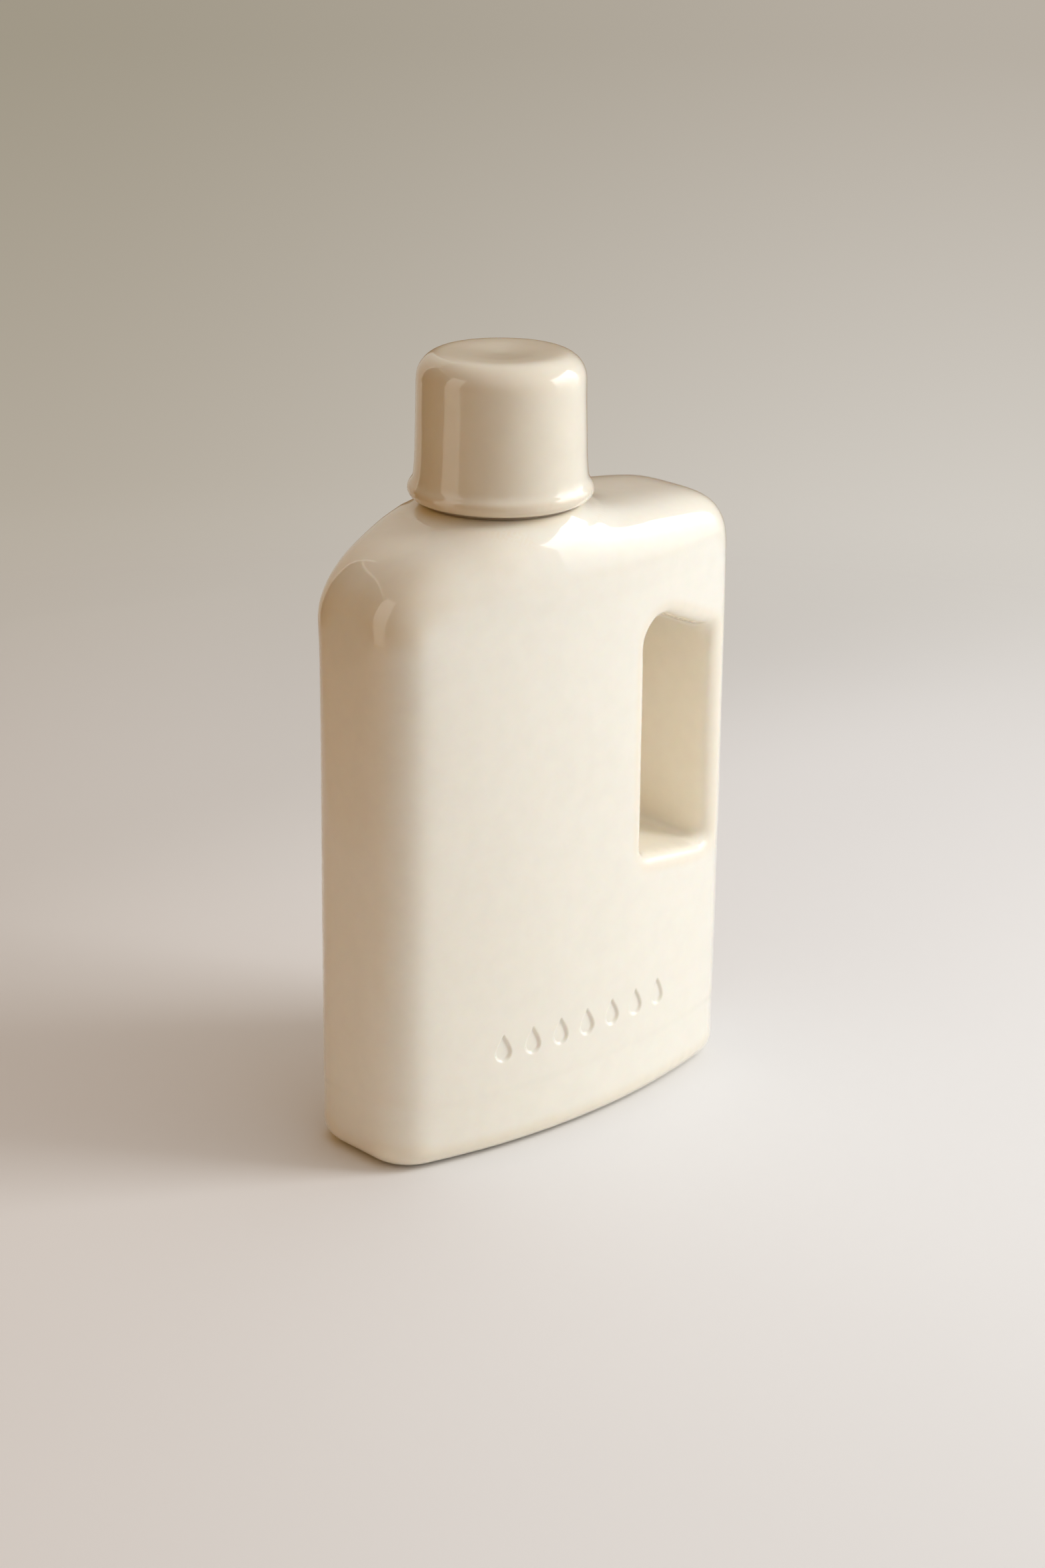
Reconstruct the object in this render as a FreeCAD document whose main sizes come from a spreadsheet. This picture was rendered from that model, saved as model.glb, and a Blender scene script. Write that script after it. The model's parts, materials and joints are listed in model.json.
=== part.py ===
# A glazed ceramic detergent bottle: a flat, hollow bottle with a hand hole, a push-on dosing cap,
# a silicone neck seal, a pour spout pressed into the neck, and four silicone pads under the base.
# Frame: +Z up, X along the bottle's width with the hand hole at +X, -Y out of the front face.
# The origin is the centre of the base, on the ground. Sizes are in millimetres.
import FreeCAD, Part
import os
import Sketcher
from FreeCAD import Vector

doc = FreeCAD.newDocument("detergent_bottle")

# ---------------------------------------------------------------- driving dimensions
SIZES = [
    # outer form of the bottle
    ("half_width", 80.5, "half the bottle's width at its base"),
    ("wall_lean", 1.5, "how far each end wall leans in by the shoulder"),
    ("half_depth", 35.6, "half the depth at mid width"),
    ("face_radius", 248.5, "radius of the front and back faces, in plan"),
    ("ground_gap", 0.4, "height of the ceramic base above the ground"),
    ("shoulder_low", 198.4, "height where the left wall bends into the shoulder"),
    ("elbow_across", 64.0, "distance of the shoulder elbow left of the origin"),
    ("elbow_height", 212.4, "height of the shoulder elbow"),
    ("knee_across", 34.0, "distance of the shoulder knee left of the origin"),
    ("knee_height", 221.4, "height of the shoulder knee"),
    ("grip_end_height", 213.6, "height of the top at the grip end"),
    ("left_bend", 20.0, "radius between left wall and shoulder"),
    ("elbow_bend", 38.0, "radius at the shoulder elbow"),
    ("knee_bend", 60.0, "radius at the shoulder knee"),
    ("grip_bend", 14.5, "radius at the grip end's top corner"),
    ("corner_round", 18.0, "upright corner rounding"),
    ("shoulder_round", 17.0, "edge rounding along the shoulder"),
    ("crown_round", 13.0, "edge rounding along the top"),
    ("end_round", 13.0, "edge rounding at the grip end's top corner"),
    ("base_round", 8.0, "rounding round the base"),
    ("wall", 4.6, "thickness of the ceramic"),
    ("base_thickness", 6.0, "thickness of the ceramic under the cavity"),
    ("end_reach", 6.0, "how far the upright corner rounding reaches in from the left wall"),
    ("elbow_reach", 10.0, "how far left of the knee the shoulder rounding still holds"),
    # hand hole
    ("hole_left", 24.8, "left side of the hand hole"),
    ("hole_right", 64.0, "right side of the hand hole"),
    ("hole_top_left", 183.4, "top of the hole at its left"),
    ("hole_top_right", 167.1, "top of the hole at its right"),
    ("hole_low_left", 93.4, "bottom of the hole at its left"),
    ("hole_low_right", 86.8, "bottom of the hole at its right"),
    ("hole_top_bend", 9.5, "radius of the hole's top corner on the bottle's side"),
    ("hole_low_bend", 5.0, "radius of the hole's bottom corner on the bottle's side"),
    ("hole_grip_bend", 3.5, "radius of the hole's two corners at the grip"),
    ("hole_lip", 5.0, "rounding where the hole meets the faces"),
    # neck, revolved about its own axis
    ("neck_across", 12.2, "distance of the neck's axis left of the origin"),
    ("collar_foot", 36.0, "radius of the collar's foot, inside the shoulder"),
    ("collar_foot_height", 210.4, "height of the collar's foot"),
    ("collar_radius", 28.6, "radius of the flat land round the neck"),
    ("land_height", 222.5, "height of the land"),
    ("land_round", 1.6, "rounding at the edge of the land"),
    ("neck_radius", 21.0, "outer radius of the neck"),
    ("neck_bore", 16.2, "radius of the neck's bore"),
    ("lip_radius", 22.2, "radius of the lip at the mouth"),
    ("lip_height", 243.4, "height where the lip starts"),
    ("lip_rise", 1.0, "height of the slope under the lip"),
    ("lip_round", 1.2, "rounding at the mouth"),
    ("mouth_height", 248.4, "height of the mouth"),
    # cap
    ("cap_foot", 223.6, "height of the closed cap's rim"),
    ("cap_top", 272.8, "height of the closed cap's top"),
    ("cap_dish", 0.7, "depth of the dish in the cap's top"),
    ("cap_inner", 24.7, "inner radius of the cap"),
    ("cap_low_radius", 29.5, "outer radius of the wall above the bead"),
    ("cap_step_height", 7.6, "height of the small flare above the rim"),
    ("cap_mid_radius", 28.9, "outer radius of the wall above the flare"),
    ("cap_high_radius", 28.2, "outer radius of the wall at the top"),
    ("bead_radius", 31.4, "outer radius of the rolled rim"),
    ("bead_tube", 3.2, "radius of the rolled rim's section"),
    ("cap_round", 9.0, "rounding of the cap's top edge"),
    ("cap_ceiling", 5.0, "thickness of the cap's top"),
    ("cap_inner_round", 7.0, "rounding inside the cap's top"),
    # silicone neck seal
    ("seal_flange", 27.4, "radius of the flange the cap rests on"),
    ("seal_gap", 0.03, "free gap between the seal and the cap"),
    ("seal_sleeve", 22.6, "outer radius of the sleeve"),
    ("seal_top", 243.0, "height of the sleeve's top"),
    ("fin_first", 227.4, "height of the lowest fin"),
    ("fin_pitch", 5.4, "distance between fins"),
    ("fin_height", 1.5, "thickness of a fin at its root"),
    ("fin_tip", 0.7, "thickness of a fin at its tip"),
    ("fin_root", 0.2, "how far a fin's root runs into the sleeve"),
    # pour spout
    ("spout_flange", 21.4, "radius of the spout's flange"),
    ("spout_flange_thick", 1.6, "thickness of the flange"),
    ("flange_round", 0.7, "rounding at the flange's edge"),
    ("plug_wall", 1.8, "wall of the plug in the neck"),
    ("plug_foot", 230.4, "height of the plug's foot"),
    ("plug_floor", 2.0, "thickness of the drip tray's floor"),
    ("lip_tube", 9.6, "outer radius of the pouring tube"),
    ("lip_tube_bore", 8.2, "inner radius of the pouring tube"),
    ("lip_tube_shift", 3.0, "distance of the tube from the neck's axis"),
    ("lip_tube_high", 262.4, "height of the pouring lip's tip"),
    ("lip_tube_low", 246.4, "height of the pouring lip's back"),
    ("lip_flat", 4.0, "length of the nearly level part of the pouring lip"),
    ("lip_trim", 0.5, "how far the pouring lip is trimmed at its tip"),
    ("lip_fall", 1.5, "how far it has dropped by the end of the level part"),
    ("slant_margin", 1.5, "how far the slanting cut runs past the tube"),
    ("drain_radius", 1.8, "radius of the drip tray's drain hole"),
    ("drain_shift", 10.6, "distance of the drain hole from the neck's axis"),
    # base pads
    ("pad_radius", 5.0, "radius of a base pad"),
    ("pad_across", 52.0, "distance of a pad from the middle, along the width"),
    ("pad_deep", 12.0, "distance of a pad from the middle, along the depth"),
    ("pad_seat", 0.8, "depth of the pad's seat in the base"),
]

sheet = doc.addObject("Spreadsheet::Sheet", "Sizes")
for row, (alias, amount, note) in enumerate(SIZES, start=1):
    sheet.set(f"A{row}", note)
    sheet.set(f"B{row}", str(amount))
    sheet.setAlias(f"B{row}", alias)
doc.recompute()
ALIASES = [alias for alias, _, _ in SIZES]
NEAR = 0.05  # two places this close together are the same place


def size(alias):
    """A driving dimension's value."""
    return float(getattr(sheet, alias))


def bound(text):
    """An expression over the sheet's aliases, with each alias given its sheet's name."""
    words = text.replace("(", "( ").replace(")", " )").split()
    return " ".join(f"Sizes.{w}" if w in ALIASES else w for w in words)


def value(text):
    """The value of such an expression, for placing a sketch's geometry before it is bound."""
    holder = doc.addObject("App::FeaturePython", "Holder")
    holder.addProperty("App::PropertyFloat", "Result")
    holder.setExpression("Result", bound(text))
    holder.recompute()
    result = holder.Result
    doc.removeObject(holder.Name)
    return result


# ---------------------------------------------------------------- helpers
def new_body(name):
    body = doc.addObject("PartDesign::Body", name)
    body.Label = name
    return body


def new_sketch(body, name, role):
    """A sketch flat on one of the body's own origin planes."""
    sketch = body.newObject("Sketcher::SketchObject", name)
    plane = next(f for f in body.Origin.OriginFeatures if f.Role == role)
    sketch.AttachmentSupport = [(plane, "")]
    sketch.MapMode = "FlatFace"
    return sketch


def hold_point(sketch, line, end, point):
    """Binds one end of a line to its two coordinates, given as expressions."""
    for kind, text, axis in (("DistanceX", point[0], -2), ("DistanceY", point[1], -1)):
        if text == "0":
            sketch.addConstraint(Sketcher.Constraint("PointOnObject", line, end, axis))
            continue
        index = sketch.addConstraint(Sketcher.Constraint(kind, -1, 1, line, end, value(text)))
        sketch.setExpression(f"Constraints[{index}]", bound(text))


def draw_polygon(sketch, points):
    """A closed polygon whose corners are pairs of expressions."""
    spots = [Vector(value(x), value(y), 0) for x, y in points]
    first = sketch.GeometryCount
    for here, there in zip(spots, spots[1:] + spots[:1]):
        sketch.addGeometry(Part.LineSegment(here, there), False)
    for i, point in enumerate(points):
        before = first + (i - 1) % len(points)
        sketch.addConstraint(Sketcher.Constraint("Coincident", before, 2, first + i, 1))
        hold_point(sketch, first + i, 1, point)


def draw_circle(sketch, across, up, radius):
    """A circle whose centre and radius are expressions."""
    middle = Vector(value(across), value(up), 0)
    circle = sketch.addGeometry(Part.Circle(middle, Vector(0, 0, 1), value(radius)), False)
    hold_point(sketch, circle, 3, (across, up))
    index = sketch.addConstraint(Sketcher.Constraint("Radius", circle, value(radius)))
    sketch.setExpression(f"Constraints[{index}]", bound(radius))


def turn(body, name, sketch):
    """A full turn of a sketch in the XZ plane about the body's own Z axis."""
    feature = body.newObject("PartDesign::Revolution", name)
    feature.Profile = sketch
    feature.ReferenceAxis = (sketch, ["V_Axis"])
    feature.Angle = 360
    doc.recompute()
    return feature


def revolve(body, name, points):
    """A full turn of a polygon whose corners are pairs of expressions."""
    sketch = new_sketch(body, name + "Profile", "XZ_Plane")
    draw_polygon(sketch, points)
    return turn(body, name, sketch)


def round_edges(body, name, radius, test):
    """A fillet, with its radius bound, on the edges of the body that pass a test."""
    base = body.Tip
    edges = [f"Edge{i}" for i, edge in enumerate(base.Shape.Edges, start=1) if test(edge)]
    fillet = body.newObject("PartDesign::Fillet", name)
    fillet.Base = (base, edges)
    fillet.setExpression("Radius", bound(radius))
    doc.recompute()
    return fillet


def check_cut(feature):
    """Stops if a cutting feature has removed nothing."""
    before = feature.BaseFeature.Shape.Volume
    assert feature.Shape.Volume < before - 1, f"{feature.Name} cuts nothing"


def ends(edge):
    """An edge's end points. Its box can be loose, and these are exact."""
    return [vertex.Point for vertex in edge.Vertexes]


def is_ring(edge, radius, height):
    """Whether an edge is a full circle of this radius at this height, about the Z axis."""
    middle = edge.BoundBox.Center
    flat = edge.BoundBox.ZLength < NEAR
    across = edge.BoundBox.XLength / 2
    return flat and abs(across - radius) < NEAR and abs(middle.z - height) < NEAR


# ---------------------------------------------------------------- bottle body
def half_form(name, outline, bends, depth, radius):
    """Half of a bottle form, in front of the XZ plane, before its face edges are rounded.

    outline holds the corners of the front view as expressions, from bottom left, clockwise;
    bends holds the radius of each corner after the first, depth is the half depth at mid width
    and radius is the radius of the curved face in plan.
    """
    body = new_body(name)
    sketch = new_sketch(body, name + "Outline", "XZ_Plane")
    draw_polygon(sketch, outline)
    pad = body.newObject("PartDesign::Pad", name + "Pad")
    pad.Profile = sketch
    pad.setExpression("Length", bound("half_depth + wall"))
    doc.recompute()
    for number, (point, bend) in enumerate(zip(outline[1:], bends)):
        x, z = value(point[0]), value(point[1])

        def at_corner(edge, x=x, z=z):
            return all(abs(p.x - x) < NEAR and abs(p.z - z) < NEAR for p in ends(edge))

        round_edges(body, f"{name}Bend{number}", bend, at_corner)
    trim = new_sketch(body, name + "Plan", "XY_Plane")
    side, front = "half_width * 1.1", "0 - half_depth * 2"
    reach = f"{radius} - {depth} - sqrt( {radius} * {radius} - {side} * {side} )"
    corners = [(f"0 - {side}", reach), (f"0 - {side}", front), (side, front), (side, reach)]
    spots = [Vector(value(x), value(y), 0) for x, y in corners]
    for i in range(3):
        trim.addGeometry(Part.LineSegment(spots[i], spots[i + 1]), False)
    # the face's arc runs anticlockwise, from the left corner to the right one
    trim.addGeometry(Part.Arc(spots[0], Vector(0, -value(depth), 0), spots[3]), False)
    for i in range(2):
        trim.addConstraint(Sketcher.Constraint("Coincident", i, 2, i + 1, 1))
    trim.addConstraint(Sketcher.Constraint("Coincident", 0, 1, 3, 1))
    trim.addConstraint(Sketcher.Constraint("Coincident", 2, 2, 3, 2))
    for i, point in enumerate(corners[:3]):
        hold_point(trim, i, 1, point)
    hold_point(trim, 2, 2, corners[3])
    index = trim.addConstraint(Sketcher.Constraint("Radius", 3, value(radius)))
    trim.setExpression(f"Constraints[{index}]", bound(radius))
    pocket = body.newObject("PartDesign::Pocket", name + "Face")
    pocket.Profile = trim
    pocket.Type = "ThroughAll"
    pocket.Reversed = True
    doc.recompute()
    check_cut(pocket)
    return body


def round_face(name, half, inset):
    """Rounds the edge between a half form's curved face and its ends and top, less an inset."""
    fillet = doc.addObject("Part::Fillet", name)
    fillet.Base = half
    end_limit = size("end_reach") - size("half_width")
    shoulder_limit = -size("knee_across") - size("elbow_reach")
    grip_limit = size("grip_end_height") - size("grip_bend") - size("end_reach")

    def rounding(point):
        if point.x < end_limit:
            return size("corner_round") - inset
        if point.x < shoulder_limit:
            return size("shoulder_round") - inset
        if point.x < 0:
            return size("crown_round") - inset
        if point.z > grip_limit:
            return size("end_round") - inset
        return size("corner_round") - inset

    chosen = []
    floor = half.Shape.BoundBox.ZMin
    for index, edge in enumerate(half.Shape.Edges, start=1):
        points = ends(edge)
        at_face = all(p.y < -NEAR for p in points)
        crosses = abs(points[0].x - points[-1].x) + abs(points[0].z - points[-1].z) < NEAR
        at_floor = all(p.z < floor + NEAR for p in points)
        if at_face and not crosses and not at_floor:
            first = edge.valueAt(edge.FirstParameter)
            last = edge.valueAt(edge.LastParameter)
            chosen.append((index, rounding(first), rounding(last)))
    fillet.Edges = chosen
    doc.recompute()
    return fillet


def whole_form(name, half, inset):
    """Rounds a half form's face, mirrors it and rounds round its base."""
    front = round_face(name + "Front", half, inset)
    back = doc.addObject("Part::Mirroring", name + "Back")
    back.Source = front
    back.Normal = Vector(0, 1, 0)
    both = doc.addObject("Part::MultiFuse", name + "Both")
    both.Shapes = [front, back]
    both.Refine = True
    doc.recompute()
    form = doc.addObject("Part::Fillet", name)
    form.Base = both
    floor = min(vertex.Z for vertex in both.Shape.Vertexes)
    radius = size("base_round") - inset / 2
    form.Edges = [
        (index, radius, radius)
        for index, edge in enumerate(both.Shape.Edges, start=1)
        if all(point.z < floor + NEAR for point in ends(edge))
    ]
    doc.recompute()
    return form


OUTER = [
    ("0 - half_width", "ground_gap"),
    ("0 - half_width + wall_lean", "shoulder_low"),
    ("0 - elbow_across", "elbow_height"),
    ("0 - knee_across", "knee_height"),
    ("half_width - wall_lean", "grip_end_height"),
    ("half_width", "ground_gap"),
]
INNER = [
    ("0 - half_width + wall", "ground_gap + base_thickness"),
    ("0 - half_width + wall_lean + wall", "shoulder_low - wall * 0.4"),
    ("0 - elbow_across + wall * 0.5", "elbow_height - wall * 0.8"),
    ("0 - knee_across + wall * 0.2", "knee_height - wall"),
    ("half_width - wall_lean - wall", "grip_end_height - wall"),
    ("half_width - wall", "ground_gap + base_thickness"),
]
outer_half = half_form(
    "OuterHalf",
    OUTER,
    ["left_bend", "elbow_bend", "knee_bend", "grip_bend"],
    "half_depth",
    "face_radius",
)
inner_half = half_form(
    "InnerHalf",
    INNER,
    ["left_bend - wall", "elbow_bend - wall", "knee_bend - wall", "grip_bend - wall"],
    "( half_depth - wall )",
    "( face_radius - wall )",
)
outer_form = whole_form("OuterForm", outer_half, 0.0)
inner_form = whole_form("InnerForm", inner_half, size("wall"))

# the neck, with the collar that it stands on
neck = new_body("NeckForm")
revolve(
    neck,
    "NeckTurn",
    [
        ("0", "collar_foot_height"),
        ("collar_foot", "collar_foot_height"),
        ("collar_radius", "land_height"),
        ("neck_radius", "land_height"),
        ("neck_radius", "lip_height"),
        ("lip_radius", "lip_height + lip_rise"),
        ("lip_radius", "mouth_height"),
        ("0", "mouth_height"),
    ],
)
round_edges(neck, "LandEdge", "land_round", lambda e: is_ring(e, size("collar_radius"), size("land_height")))
round_edges(neck, "MouthEdge", "lip_round", lambda e: is_ring(e, size("lip_radius"), size("mouth_height")))
neck.setExpression("Placement.Base.x", bound("0 - neck_across"))

bore = doc.addObject("Part::Cylinder", "NeckBore")
bore.setExpression("Radius", bound("neck_bore"))
bore.setExpression("Height", bound("mouth_height"))
bore.setExpression("Placement.Base.x", bound("0 - neck_across"))
bore.setExpression("Placement.Base.z", bound("knee_height - wall * 3"))


def hole_prism(name, grow):
    """The hand hole's prism through the bottle, grown all round by an expression."""
    body = new_body(name)
    sketch = new_sketch(body, name + "Outline", "XZ_Plane")
    draw_polygon(
        sketch,
        [
            (f"hole_left - {grow}", f"hole_low_left - {grow}"),
            (f"hole_left - {grow}", f"hole_top_left + {grow}"),
            (f"hole_right + {grow}", f"hole_top_right + {grow}"),
            (f"hole_right + {grow}", f"hole_low_right - {grow}"),
        ],
    )
    pad = body.newObject("PartDesign::Pad", name + "Pad")
    pad.Profile = sketch
    pad.Midplane = True
    pad.setExpression("Length", bound("half_depth * 3"))
    doc.recompute()
    middle_x = (size("hole_left") + size("hole_right")) / 2
    middle_z = (size("hole_low_left") + size("hole_top_left")) / 2

    def corner_test(at_grip, at_top):
        def test(edge):
            box = edge.BoundBox
            runs_through = box.YLength > size("half_depth") and max(box.XLength, box.ZLength) < NEAR
            side, height = box.Center.x > middle_x, box.Center.z > middle_z
            return runs_through and side == at_grip and (at_top is None or height == at_top)

        return test

    round_edges(body, name + "TopBend", f"hole_top_bend + {grow}", corner_test(False, True))
    round_edges(body, name + "LowBend", f"hole_low_bend + {grow}", corner_test(False, False))
    round_edges(body, name + "GripBends", f"hole_grip_bend + {grow}", corner_test(True, None))
    return body


hand_hole = hole_prism("HandHole", "0")
hole_wall = hole_prism("HoleWall", "wall")

solid_bottle = doc.addObject("Part::MultiFuse", "SolidBottle")
solid_bottle.Shapes = [outer_form, neck]
holed_bottle = doc.addObject("Part::Cut", "HoledBottle")
holed_bottle.Base = solid_bottle
holed_bottle.Tool = hand_hole
doc.recompute()

softened = doc.addObject("Part::Fillet", "SoftenedBottle")
softened.Base = holed_bottle
hole_box = hand_hole.Shape.BoundBox
hole_box.enlarge(NEAR * 2)
softened.Edges = [
    (index, size("hole_lip"), size("hole_lip"))
    for index, edge in enumerate(holed_bottle.Shape.Edges, start=1)
    if hole_box.isInside(edge.BoundBox) and edge.BoundBox.YLength < size("half_depth")
]
doc.recompute()

cavity = doc.addObject("Part::Cut", "Cavity")
cavity.Base = inner_form
cavity.Tool = hole_wall
hollows = doc.addObject("Part::MultiFuse", "Hollows")
hollows.Shapes = [cavity, bore]


def pad_discs(name):
    """A disc at each of the four pads' places, for the pads and for their seats in the base."""
    discs = []
    for across, deep in ((-1, -1), (-1, 1), (1, -1), (1, 1)):
        disc = doc.addObject("Part::Cylinder", f"{name}{len(discs)}")
        disc.setExpression("Radius", bound("pad_radius"))
        disc.setExpression("Height", bound("ground_gap + pad_seat"))
        disc.setExpression("Placement.Base.x", bound(f"{across} * pad_across"))
        disc.setExpression("Placement.Base.y", bound(f"{deep} * pad_deep"))
        discs.append(disc)
    return discs


all_hollows = doc.addObject("Part::MultiFuse", "AllHollows")
all_hollows.Shapes = [hollows] + pad_discs("PadSeat")

bottle_body = doc.addObject("Part::Cut", "BottleBody")
bottle_body.Label = "bottle_body"
bottle_body.Base = softened
bottle_body.Tool = all_hollows
doc.recompute()

# ---------------------------------------------------------------- base pads, one group of solids
base_pads = doc.addObject("Part::Compound", "BasePads")
base_pads.Label = "base_pads"
base_pads.Links = pad_discs("PadDisc")

# ---------------------------------------------------------------- cap
cap = new_body("cap")
revolve(
    cap,
    "CapTurn",
    [
        ("cap_inner", "cap_foot + bead_tube * 0.5"),
        ("bead_radius - bead_tube", "cap_foot + bead_tube * 0.5"),
        ("cap_low_radius", "cap_foot + bead_tube"),
        ("cap_low_radius", "cap_foot + bead_tube * 2"),
        ("cap_mid_radius", "cap_foot + bead_tube * 2 + cap_step_height"),
        ("cap_high_radius", "cap_top"),
        ("cap_high_radius / 2", "cap_top"),
        ("0", "cap_top - cap_dish"),
        ("0", "cap_top - cap_ceiling"),
        ("cap_inner", "cap_top - cap_ceiling"),
    ],
)
round_edges(cap, "TopRound", "cap_round", lambda e: is_ring(e, size("cap_high_radius"), size("cap_top")))
round_edges(
    cap,
    "CeilingRound",
    "cap_inner_round",
    lambda e: is_ring(e, size("cap_inner"), size("cap_top") - size("cap_ceiling")),
)
bead_sketch = new_sketch(cap, "BeadCircle", "XZ_Plane")
draw_circle(bead_sketch, "bead_radius - bead_tube", "cap_foot + bead_tube", "bead_tube")
turn(cap, "Bead", bead_sketch)
cap.setExpression("Placement.Base.x", bound("0 - neck_across"))

# ---------------------------------------------------------------- neck seal
neck_seal = new_body("neck_seal")
revolve(
    neck_seal,
    "SealTurn",
    [
        ("neck_radius", "land_height"),
        ("seal_flange", "land_height"),
        ("seal_flange", "cap_foot - seal_gap"),
        ("seal_sleeve", "cap_foot - seal_gap"),
        ("seal_sleeve", "seal_top"),
        ("neck_radius", "seal_top"),
    ],
)
fin = revolve(
    neck_seal,
    "FinTurn",
    [
        ("seal_sleeve - fin_root", "fin_first"),
        ("cap_inner - seal_gap", "fin_first + fin_height - fin_tip"),
        ("cap_inner - seal_gap", "fin_first + fin_height"),
        ("seal_sleeve - fin_root", "fin_first + fin_height"),
    ],
)
fins = neck_seal.newObject("PartDesign::LinearPattern", "FinRow")
fins.Originals = [fin]
fins.Direction = (next(f for f in neck_seal.Origin.OriginFeatures if f.Role == "Z_Axis"), [""])
fins.setExpression("Length", bound("fin_pitch * 2"))
fins.Occurrences = 3
neck_seal.Tip = fins
neck_seal.setExpression("Placement.Base.x", bound("0 - neck_across"))
doc.recompute()

# ---------------------------------------------------------------- pour spout
pour_spout = new_body("pour_spout")
revolve(
    pour_spout,
    "PlugTurn",
    [
        ("0", "plug_foot"),
        ("neck_bore", "plug_foot"),
        ("neck_bore", "mouth_height"),
        ("spout_flange", "mouth_height"),
        ("spout_flange", "mouth_height + spout_flange_thick"),
        ("neck_bore - plug_wall", "mouth_height + spout_flange_thick"),
        ("neck_bore - plug_wall", "plug_foot + plug_floor"),
        ("0", "plug_foot + plug_floor"),
    ],
)
round_edges(
    pour_spout,
    "FlangeRound",
    "flange_round",
    lambda e: is_ring(e, size("spout_flange"), size("mouth_height") + size("spout_flange_thick")),
)


def spout_pad(name, radius, cut):
    """The pouring tube, or its bore, from the plug's foot to the height of the lip's tip."""
    sketch = new_sketch(pour_spout, name + "Circle", "XY_Plane")
    draw_circle(sketch, "0 - lip_tube_shift", "0", radius)
    sketch.setExpression("AttachmentOffset.Base.z", bound("plug_foot"))
    feature = pour_spout.newObject("PartDesign::Pocket" if cut else "PartDesign::Pad", name)
    feature.Profile = sketch
    feature.Reversed = cut
    feature.setExpression("Length", bound("lip_tube_high - plug_foot"))
    doc.recompute()
    return feature


spout_pad("PourTube", "lip_tube", False)
check_cut(spout_pad("PourBore", "lip_tube_bore", True))

slant = new_sketch(pour_spout, "LipSlantProfile", "XZ_Plane")
draw_polygon(
    slant,
    [
        ("0 - lip_tube_shift - lip_tube", "lip_tube_high - lip_trim"),
        ("0 - lip_tube_shift - lip_tube + lip_flat", "lip_tube_high - lip_fall"),
        ("lip_tube - lip_tube_shift + slant_margin", "lip_tube_low"),
        ("lip_tube - lip_tube_shift + slant_margin", "lip_tube_high + slant_margin"),
        ("0 - lip_tube_shift - lip_tube", "lip_tube_high + slant_margin"),
    ],
)
lip_slant = pour_spout.newObject("PartDesign::Pocket", "LipSlant")
lip_slant.Profile = slant
lip_slant.Midplane = True
lip_slant.setExpression("Length", bound("lip_tube * 3"))
doc.recompute()
check_cut(lip_slant)

drain_sketch = new_sketch(pour_spout, "DrainCircle", "XY_Plane")
draw_circle(drain_sketch, "drain_shift", "0", "drain_radius")
drain_sketch.setExpression("AttachmentOffset.Base.z", bound("plug_foot"))
drain = pour_spout.newObject("PartDesign::Pocket", "DrainHole")
drain.Profile = drain_sketch
drain.Reversed = True
drain.setExpression("Length", bound("plug_floor"))
doc.recompute()
check_cut(drain)
pour_spout.setExpression("Placement.Base.x", bound("0 - neck_across"))
doc.recompute()

# ---------------------------------------------------------------- checks and export
SUB_PARTS = [bottle_body, cap, neck_seal, pour_spout, base_pads]
for item in doc.Objects:
    bad = {"Invalid", "Error"} & set(item.State)
    assert not bad, f"{item.Name} has failed: {item.State}"
os.makedirs("parts", exist_ok=True)
for item in SUB_PARTS:
    shape = item.Shape
    assert not shape.isNull() and shape.isValid(), f"{item.Label} has no valid shape"
    print(item.Label, "solids", len(shape.Solids), "volume", round(shape.Volume), shape.BoundBox)
for item in SUB_PARTS:
    item.Shape.exportStep(f"parts/{item.Label}.step")
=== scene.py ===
"""Looks for a glazed ceramic detergent bottle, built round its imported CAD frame. Metres, +Z up."""
import json
import math
from collections import namedtuple

import bmesh
import bpy
import numpy as np
from mathutils import Matrix, Vector, noise
from mathutils.bvhtree import BVHTree


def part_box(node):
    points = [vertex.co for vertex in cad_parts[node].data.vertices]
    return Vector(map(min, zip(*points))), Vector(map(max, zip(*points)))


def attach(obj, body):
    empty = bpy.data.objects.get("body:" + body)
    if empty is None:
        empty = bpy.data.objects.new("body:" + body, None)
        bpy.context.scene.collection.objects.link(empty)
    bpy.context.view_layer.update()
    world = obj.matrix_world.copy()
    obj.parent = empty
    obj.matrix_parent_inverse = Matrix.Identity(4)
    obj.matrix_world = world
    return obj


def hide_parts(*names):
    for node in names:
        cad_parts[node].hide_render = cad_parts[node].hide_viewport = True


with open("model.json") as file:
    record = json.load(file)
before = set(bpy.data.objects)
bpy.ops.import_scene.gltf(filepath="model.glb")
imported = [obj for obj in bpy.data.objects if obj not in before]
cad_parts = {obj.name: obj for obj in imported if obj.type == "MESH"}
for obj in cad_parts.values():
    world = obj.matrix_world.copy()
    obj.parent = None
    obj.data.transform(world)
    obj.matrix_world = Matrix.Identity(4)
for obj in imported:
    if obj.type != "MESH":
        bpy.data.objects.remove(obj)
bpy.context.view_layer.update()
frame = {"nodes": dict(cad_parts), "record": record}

MM = 0.001
BODY_LOW, BODY_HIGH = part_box("bottle_body")
CAP_LOW, CAP_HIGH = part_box("cap")
NECK = Vector(((CAP_LOW.x + CAP_HIGH.x) / 2, (CAP_LOW.y + CAP_HIGH.y) / 2, CAP_LOW.z))

# ------------------------------------------------------------------ mesh tools
SHRINK_STEP = 0.55  # a pair of steps that smooths facets away without shrinking the shape
REGROW_STEP = 0.57
SETTLE_STEP = 0.6
BEND_BLUR = 6  # rounds of averaging for each value held at the vertices
FLAT_BLUR = 8
SHARE_BLUR = 6
HOLE_BLUR = 4
FACING = 0.8  # a normal on the front or back face lies at least this far along Y


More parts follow.
